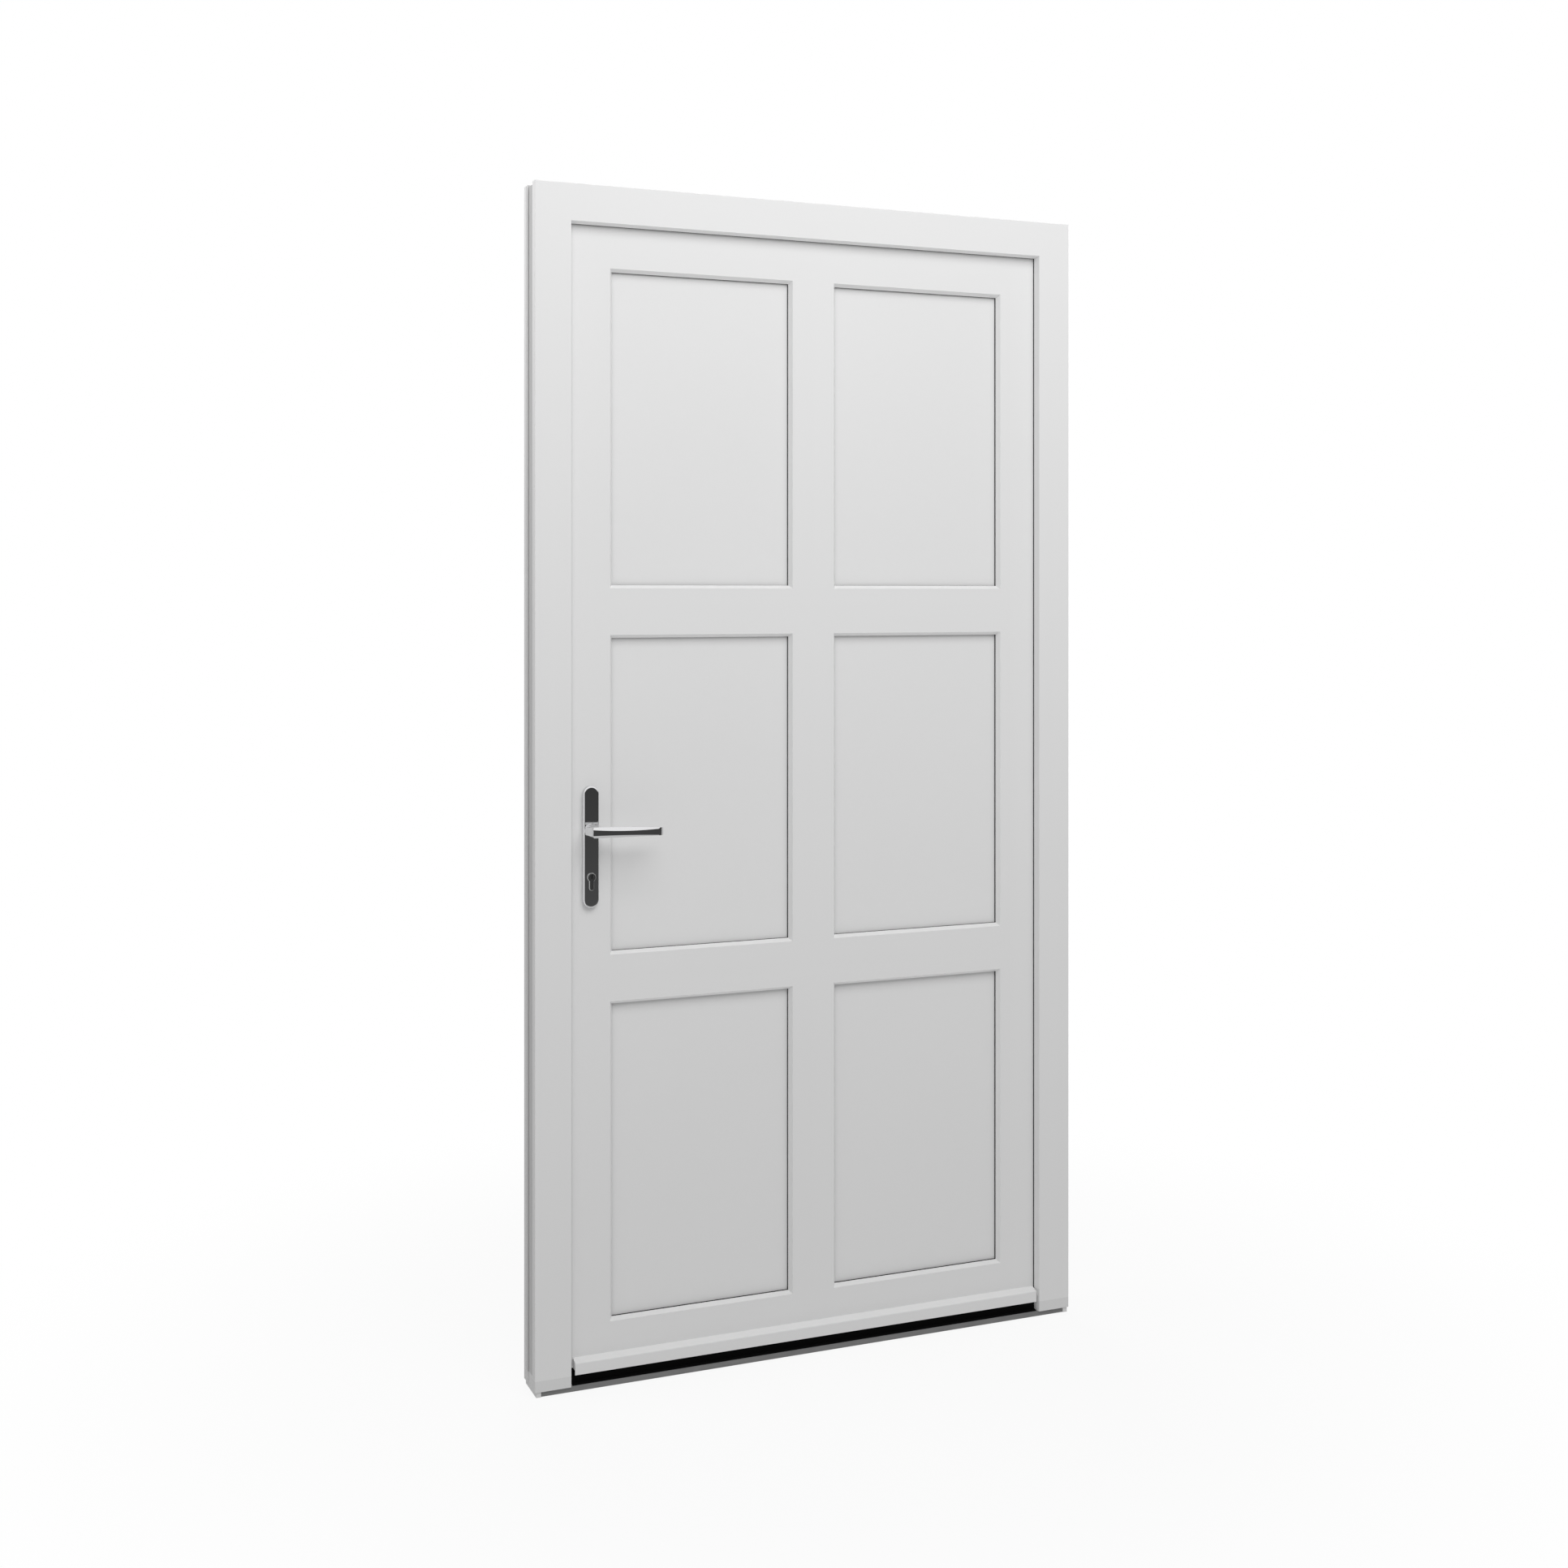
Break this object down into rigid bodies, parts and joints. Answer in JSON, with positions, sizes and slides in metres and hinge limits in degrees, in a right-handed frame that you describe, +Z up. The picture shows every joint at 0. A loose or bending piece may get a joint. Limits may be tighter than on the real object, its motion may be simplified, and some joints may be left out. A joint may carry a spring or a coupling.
{
  "type": "six-panel door",
  "caption": "White six-panel entrance door in its frame, with lever handles on narrow plates, a lock cylinder, a weather bar and a low threshold.",
  "frame": {"origin": "underside of the base plate, at the middle of the frame's width and depth", "axes": "+Z up, +X across the door from the lock side to the hinge side, +Y from outdoors to indoors"},
  "size_m": [1.11, 0.19, 2.2],
  "materials": {
    "white_profile": "satin white",
    "white_panel": "satin white",
    "end_block": "matt off-white",
    "black_rubber": "matt black",
    "grey_base": "mill grey",
    "black_threshold": "matt black",
    "aluminium_tread": "anodised",
    "lock_steel": "zinc plated",
    "polished_chrome": "polished",
    "cylinder_nickel": "nickel plated",
    "hinge_white": "white powder coat"
  },
  "bodies": {
    "frame": {"lock_jamb": "white_profile", "hinge_jamb": "white_profile", "frame_head": "white_profile", "lock_end_block": "end_block", "hinge_end_block": "end_block", "threshold_base": "grey_base", "threshold_body": "black_threshold", "threshold_tread": "aluminium_tread", "frame_gasket": "black_rubber", "lock_keeps": "lock_steel", "lower_frame_hinge": "hinge_white", "middle_frame_hinge": "hinge_white", "upper_frame_hinge": "hinge_white"},
    "leaf": {"lock_stile": "white_profile", "hinge_stile": "white_profile", "top_rail": "white_profile", "bottom_rail": "white_profile", "lower_cross_rail": "white_profile", "upper_cross_rail": "white_profile", "lower_mullion": "white_profile", "middle_mullion": "white_profile", "upper_mullion": "white_profile", "lower_left_panel": "white_panel", "lower_right_panel": "white_panel", "middle_left_panel": "white_panel", "middle_right_panel": "white_panel", "upper_left_panel": "white_panel", "upper_right_panel": "white_panel", "panel_gaskets": "black_rubber", "panel_beads": "white_profile", "leaf_gasket": "black_rubber", "weather_bar": "white_profile", "bottom_seal": "black_rubber", "lock_faceplate": "lock_steel", "lock_bolts": "lock_steel", "outer_handle_plate": "polished_chrome", "inner_handle_plate": "polished_chrome", "lock_cylinder": "cylinder_nickel", "lower_leaf_hinge": "hinge_white", "middle_leaf_hinge": "hinge_white", "upper_leaf_hinge": "hinge_white"},
    "levers": {"outer_lever": "polished_chrome", "inner_lever": "polished_chrome", "spindle": "lock_steel"}
  },
  "joints": [
    {"name": "leaf_swing", "type": "hinge", "parent": "frame", "child": "leaf", "pos_m": [0.526, 0.0593, 1.1], "axis": [0, 0, -1], "range_deg": [0, 100]},
    {"name": "lever_turn", "type": "hinge", "parent": "leaf", "child": "levers", "pos_m": [-0.4468, -0.0203, 1.019], "axis": [0, 1, 0], "range_deg": [0, 40], "stiffness_Nm_per_rad": 1.2, "springref_deg": -40.11}
  ]
}
